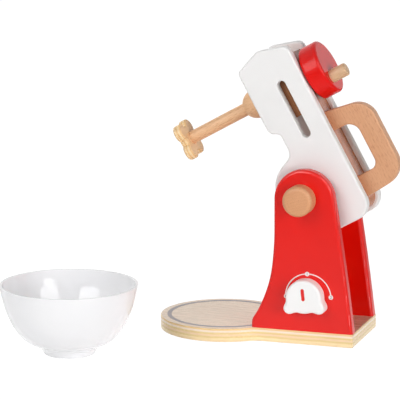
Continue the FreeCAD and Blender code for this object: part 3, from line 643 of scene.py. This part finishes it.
# %% Platform ring
INK = 0.06
RING_OUTER, RING_WIDTH, RING_TURNS = 53.9, 4.0, 200
ring_section = np.array([(RING_OUTER - RING_WIDTH, BOARD_TOP),
                         (RING_OUTER, BOARD_TOP),
                         (RING_OUTER, BOARD_TOP + INK),
                         (RING_OUTER - RING_WIDTH, BOARD_TOP + INK)])
skin("platform_ring", turned(ring_section, (0.0, 0.0), RING_TURNS), ring_ink,
     "plywood", "base", ring=True)

# %% [markdown]
# The dial's scale
#
# Round the dial runs a thin white arc with three spots, numbered 0, 1 and 2. Arc and spots
# lie in the plane of the red panel, so they are drawn as flat outlines (x along the board, z
# up) and given the thickness of a coat of ink towards the viewer. The numbers are Blender
# text, made into a mesh before it is set in place.

# %% Scale, spots and numbers
PANEL_FACE = -43.0
DIAL_CENTRE = (92.75, 44.5)
SCALE_RADIUS, SCALE_WIDTH, SPOT_RADIUS = 21.25, 1.0, 2.1
SPOTS = {"0": (72.1, 43.9), "1": (91.65, 65.7), "2": (113.95, 45.7)}
SPOT_FACE, DIGIT_HEIGHT = PANEL_FACE - 1.5 * INK, 3.8


def flat_plate(name, outline, low, high, material, slot, body):
    """A flat outline (x, z) as a plate from y = low to y = high, with its rows in y."""
    layers = [np.column_stack([outline[:, 0], np.full(len(outline), y), outline[:, 1]])
              for y in (low, high)]
    return skin(name, np.stack(layers) * MM, material, slot, body)


def circle(centre, radius, steps=40):
    """Points at centre + radius (cos t, sin t)."""
    t = np.linspace(0, 2 * math.pi, steps, endpoint=False)
    return np.column_stack([centre[0] + radius * np.cos(t), centre[1] + radius * np.sin(t)])


def bearing(place):
    """Angle of a place about the dial's centre, from 0 to a whole turn."""
    across, above = np.subtract(place, DIAL_CENTRE)
    return math.atan2(above, across) % (2 * math.pi)


sweep = np.linspace(bearing(SPOTS["2"]), bearing(SPOTS["0"]), 64)
rim = np.column_stack([np.cos(sweep), np.sin(sweep)])
arc_outline = np.vstack([DIAL_CENTRE + rim * (SCALE_RADIUS + SCALE_WIDTH / 2),
                         DIAL_CENTRE + rim[::-1] * (SCALE_RADIUS - SCALE_WIDTH / 2)])
flat_plate("dial_scale_arc", arc_outline, PANEL_FACE, PANEL_FACE - INK, white_ink,
           "white_paint", "base")
for key, centre in SPOTS.items():
    flat_plate("dial_spot_" + key, circle(centre, SPOT_RADIUS), PANEL_FACE, SPOT_FACE,
               white_ink, "white_paint", "base")


def number(name, text, centre, height, face, material, body):
    """A digit as a thin plate: the text's x goes along x, its y up, its depth to -y."""
    curve = bpy.data.curves.new(name, "FONT")
    curve.body = text
    curve.size = height
    curve.extrude = INK / 2
    curve.align_x = "CENTER"
    curve.align_y = "CENTER"
    holder = bpy.data.objects.new(name + "_text", curve)
    bpy.context.scene.collection.objects.link(holder)
    bpy.context.view_layer.update()
    mesh = bpy.data.meshes.new_from_object(
        holder.evaluated_get(bpy.context.evaluated_depsgraph_get()))
    bpy.data.objects.remove(holder)
    points = np.zeros(len(mesh.vertices) * 3)
    mesh.vertices.foreach_get("co", points)
    points = points.reshape(-1, 3)
    middle = (points.min(0) + points.max(0)) / 2
    x, y, z = (points - middle).T
    placed = np.column_stack([centre[0] + x, face - INK / 2 - z, centre[1] + y]) * MM
    mesh.vertices.foreach_set("co", placed.ravel())
    mesh.materials.clear()
    mesh.name = name
    return finish_piece(name, mesh, material, body)


for key, centre in SPOTS.items():
    number("dial_number_" + key, key, centre, DIGIT_HEIGHT, SPOT_FACE, dark_ink,
           "base")

# %% [markdown]
# The pointer on the dial
#
# A red bar with round ends is printed on the dial's face. Its outline is two half circles
# joined by straight sides, and it turns with the dial.

# %% Pointer
KNOB_FACE = -55.3
POINTER_TOP, POINTER_FOOT, POINTER_WIDTH = (90.6, 52.9), (91.5, 44.8), 3.1


def bar(top, foot, width, steps=14):
    """Half circle about each end, at right angles to the line between them."""
    top, foot = np.array(top), np.array(foot)
    lean = math.atan2(*(top - foot)[::-1])
    t = np.linspace(-math.pi / 2, math.pi / 2, steps)
    near = np.column_stack([np.cos(lean + t), np.sin(lean + t)]) * width / 2
    return np.vstack([top + near, foot - near])


flat_plate("dial_pointer", bar(POINTER_TOP, POINTER_FOOT, POINTER_WIDTH), KNOB_FACE,
           KNOB_FACE - INK, red_ink, "red_paint", "dial")

# %% [markdown]
# The room
#
# The toy stands in a white room. If the room shone as bright as it looks, it would wash the
# paint out, so it is white only for the rays that see it: from the camera, in a glossy
# surface, or through glass. For the rays that light the toy it is black, and lamps do that.

# %% World
WHITE = (1.0, 1.0, 1.0, 1.0)


def seen_directly(graph):
    """1 for camera, mirror and glass rays, 0 for the rays that light the toy."""
    path = [graph.node("ShaderNodeLightPath", output=name)
            for name in ("Is Camera Ray", "Is Glossy Ray", "Is Transmission Ray")]
    total = path[0] + path[1] + path[2]
    return total.math("MINIMUM", total, 1.0)


world = bpy.data.worlds.new("white_room")
world.use_nodes = True
bpy.context.scene.world = world
sky = Graph(world.node_tree)
sky.tree.nodes.clear()
sky.end("ShaderNodeOutputWorld",
        sky.node("ShaderNodeBackground", {}, {0: WHITE, 1: seen_directly(sky)}))
print("world:", world.name)

# %% [markdown]
# The floor
#
# The floor is as white as the room for the same rays. A small share of it is a real matte
# surface, which keeps the toy's shadow, with a faint light of its own for what a white table
# gives back. In glossy surfaces it darkens with the distance from the toy, between a near
# and a far radius in metres, so that the panels carry more white near the board than near
# the knob.

# %% Floor
FLOOR_REACH = 4.0
FLOOR_MATTE, FLOOR_BOUNCE, FLOOR_GLOW = 0.06, 0.16, 1.08
TABLE_WHITE = (0.86, 0.86, 0.86, 1.0)
NEAR_FLOOR, FAR_FLOOR, FAR_DIMMING = 0.15, 0.75, 0.8
floor_mesh = bpy.data.meshes.new("floor")
floor_mesh.from_pydata([(-FLOOR_REACH, -FLOOR_REACH, 0), (FLOOR_REACH, -FLOOR_REACH, 0),
                        (FLOOR_REACH, FLOOR_REACH, 0), (-FLOOR_REACH, FLOOR_REACH, 0)],
                       [], [(0, 1, 2, 3)])
floor = bpy.data.objects.new("floor", floor_mesh)
bpy.context.scene.collection.objects.link(floor)
floor_material = bpy.data.materials.new("white_sweep")
floor_material.use_nodes = True
sweep_graph = Graph(floor_material.node_tree)
sweep_graph.tree.nodes.clear()
matte = sweep_graph.node("ShaderNodeBsdfDiffuse", {}, {0: TABLE_WHITE})
bounce = sweep_graph.node("ShaderNodeEmission", {}, {0: WHITE, 1: FLOOR_BOUNCE})
lit = sweep_graph.node("ShaderNodeAddShader", {}, {0: matte, 1: bounce})
reach = sweep_graph.node("ShaderNodeVectorMath", {"operation": "LENGTH"},
                         {0: sweep_graph.place()}, output=1)
mirrored = sweep_graph.node("ShaderNodeLightPath", output="Is Glossy Ray")
dimming = mirrored * sweep_graph.between(reach, NEAR_FLOOR, FAR_FLOOR, 0.0, FAR_DIMMING)
glow = sweep_graph.node("ShaderNodeEmission", {}, {0: WHITE, 1: FLOOR_GLOW - dimming})
share = seen_directly(sweep_graph) * (1.0 - FLOOR_MATTE)
blend = sweep_graph.node("ShaderNodeMixShader", {}, {0: share, 1: lit, 2: glow})
sweep_graph.end("ShaderNodeOutputMaterial", blend)
floor_mesh.materials.append(floor_material)
print("floor:", 2 * FLOOR_REACH, "m wide")

# %% [markdown]
# The lamps
#
# Five soft square lamps stand round the toy: a key at the upper left, a strong low one at
# the right, another strong one behind at the left, and two weak ones that fill in, so that
# no side stays black. They could be mirrored in the paint, but their blurred squares would
# cover the gloss of the bowl, so glossy rays pass them by. Each lamp's two angles are in
# degrees, round the toy and above the table.

# %% Lamps
LAMP_DISTANCE, LAMP_SIZE = 2.2, 1.4
LAMPS = {
    "key": (-22.0, 30.0, 3.9),
    "low_right": (60.0, 5.0, 6.2),
    "high_left": (-60.0, 60.0, 0.9),
    "rear_left": (-140.0, 30.0, 5.2),
    "rear_right": (160.0, 30.0, 0.8),
}


def facing(piece, turn, rise, distance):
    """Put a lamp or pane at an angle round and above the toy, turned towards it."""
    turn, rise = math.radians(turn), math.radians(rise)
    away = Vector((math.sin(turn) * math.cos(rise), -math.cos(turn) * math.cos(rise),
                   math.sin(rise)))
    piece.location = CAMERA_AIM + away * distance
    piece.rotation_euler = away.to_track_quat("Z", "Y").to_euler()
    bpy.context.scene.collection.objects.link(piece)


def softbox(name, turn, rise, brightness):
    """A square area lamp; watts = pi x area x brightness."""
    data = bpy.data.lights.new(name, "AREA")
    data.shape = "SQUARE"
    data.size = LAMP_SIZE
    data.energy = math.pi * LAMP_SIZE ** 2 * brightness
    lamp = bpy.data.objects.new(name, data)
    lamp.visible_glossy = False
    facing(lamp, turn, rise, LAMP_DISTANCE)
    print(name, "gives", round(data.energy, 1), "W")


for name, (turn, rise, brightness) in LAMPS.items():
    softbox(name, turn, rise, brightness)

# %% [markdown]
# Windows in the bowl
#
# Inside the bowl stand two bright shapes with a pointed top: a room's windows, mirrored in
# the plastic. Each is a pane that only glossy rays can see. The hollow of the bowl turns
# it over and round, so it is drawn with its point below, and the window on the left of the
# room shines at the right of the bowl.

# %% Panes for the reflections
WINDOW_SIZE = np.array((1.0, 1.2))
WINDOW_RISE, WINDOW_DISTANCE = 30.2, 1.6


def window(name, turn, tip, low_corners, brightness):
    """A bright five-sided pane that only glossy rays can see. The tip's place across and
    the heights of both low corners are shares of its size, from its middle."""
    outline = np.array([(-0.5, 0.5), (-0.5, low_corners[0]), (tip, -0.5),
                        (0.5, low_corners[1]), (0.5, 0.5)]) * WINDOW_SIZE
    mesh = bpy.data.meshes.new(name)
    mesh.from_pydata([(x, y, 0.0) for x, y in outline], [], [tuple(range(len(outline)))])
    pane = bpy.data.objects.new(name, mesh)
    facing(pane, turn, WINDOW_RISE, WINDOW_DISTANCE)
    for kind in ("camera", "diffuse", "shadow", "transmission", "volume_scatter"):
        setattr(pane, "visible_" + kind, False)
    material = bpy.data.materials.new(name)
    material.use_nodes = True
    graph = Graph(material.node_tree)
    graph.tree.nodes.clear()
    graph.end("ShaderNodeOutputMaterial",
              graph.node("ShaderNodeEmission", {}, {0: WHITE, 1: brightness}))
    mesh.materials.append(material)
    print(name, "at", [round(v, 2) for v in pane.location])


window("window_left", -22.0, -0.1, (-0.45, -0.41), 5.4)
window("window_right", 57.0, 0.0, (-0.42, -0.44), 5.6)

# %% [markdown]
